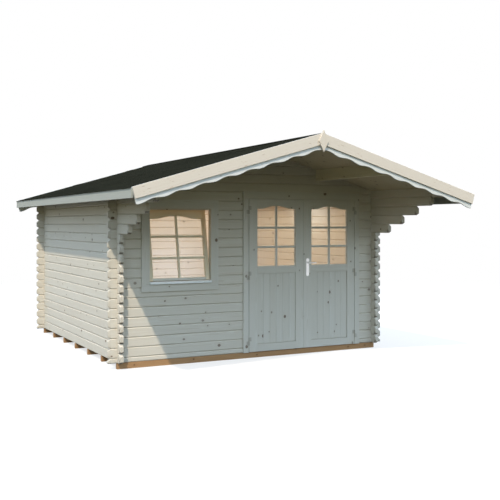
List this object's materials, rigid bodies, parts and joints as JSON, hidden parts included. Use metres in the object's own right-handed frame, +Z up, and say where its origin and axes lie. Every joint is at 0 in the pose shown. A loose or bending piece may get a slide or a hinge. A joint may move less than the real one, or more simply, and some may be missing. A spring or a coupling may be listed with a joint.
{
  "type": "log cabin",
  "caption": "Garden log cabin of interlocking planed logs with a low gable roof, a deep front canopy on stepped side logs, a glazed double door and a tilting window.",
  "frame": {"origin": "underside of the middle floor joist at the centre of the cabin, on the ground", "axes": "+X right seen from the front, -Y towards the front with the canopy and the door, +Z up"},
  "size_m": [4.32, 5.535, 2.704],
  "materials": {
    "log_wood": "planed pale softwood with small dark knots",
    "joinery_wood": "planed pale softwood",
    "edge_wood": "planed pale softwood boards",
    "bare_pine": "warm natural pine boards",
    "joist_wood": "brown impregnated softwood",
    "roofing_felt": "dark mineral roofing felt",
    "hinge_steel": "zinc plated",
    "handle_metal": "satin silver",
    "window_glass": "clear float glass"
  },
  "bodies": {
    "root": {"floor_joists": "joist_wood", "floor_boards": "bare_pine", "left_wall_logs": "log_wood", "left_corbel_logs": "log_wood", "right_wall_logs": "log_wood", "right_corbel_logs": "log_wood", "back_wall_logs": "log_wood", "back_gable_logs": "log_wood", "front_logs_below_window": "log_wood", "front_logs_left": "log_wood", "front_logs_between": "log_wood", "front_log_over_window": "log_wood", "front_logs_right": "log_wood", "front_gable_logs": "log_wood", "purlins": "bare_pine", "left_roof_boards": "bare_pine", "right_roof_boards": "bare_pine", "left_roofing": "roofing_felt", "right_roofing": "roofing_felt", "ridge_strip": "roofing_felt", "eave_boards": "edge_wood", "front_bargeboards": "edge_wood", "front_wave_boards": "edge_wood", "rear_bargeboards": "edge_wood", "rear_wave_boards": "edge_wood", "finials": "edge_wood", "door_frame": "joinery_wood", "door_trim": "joinery_wood", "door_hinge_posts": "hinge_steel", "inner_trim": "bare_pine", "window_frame": "joinery_wood", "window_trim": "joinery_wood", "window_sill": "joinery_wood", "window_sash": "joinery_wood", "window_glass": "window_glass"},
    "left_leaf": {"left_door_frame": "joinery_wood", "left_door_boards": "joinery_wood", "left_door_glass": "window_glass", "left_door_hinges": "hinge_steel"},
    "right_leaf": {"right_door_frame": "joinery_wood", "right_door_boards": "joinery_wood", "right_door_glass": "window_glass", "right_door_hinges": "hinge_steel", "handle_plates": "handle_metal"},
    "lever": {"lever_handle": "handle_metal"}
  },
  "joints": [
    {"name": "left_leaf_swing", "type": "hinge", "parent": "root", "child": "left_leaf", "pos_m": [-0.107, -1.8468, 1.0275], "axis": [0, 0, -1], "range_deg": [0, 100]},
    {"name": "right_leaf_swing", "type": "hinge", "parent": "root", "child": "right_leaf", "pos_m": [1.469, -1.8468, 1.0275], "axis": [0, 0, 1], "range_deg": [0, 100]},
    {"name": "lever_turn", "type": "hinge", "parent": "right_leaf", "child": "lever", "pos_m": [0.7385, -1.8415, 1.17], "axis": [0, 1, 0], "range_deg": [0, 40], "stiffness_Nm_per_rad": 1.5, "springref_deg": -17.19}
  ]
}
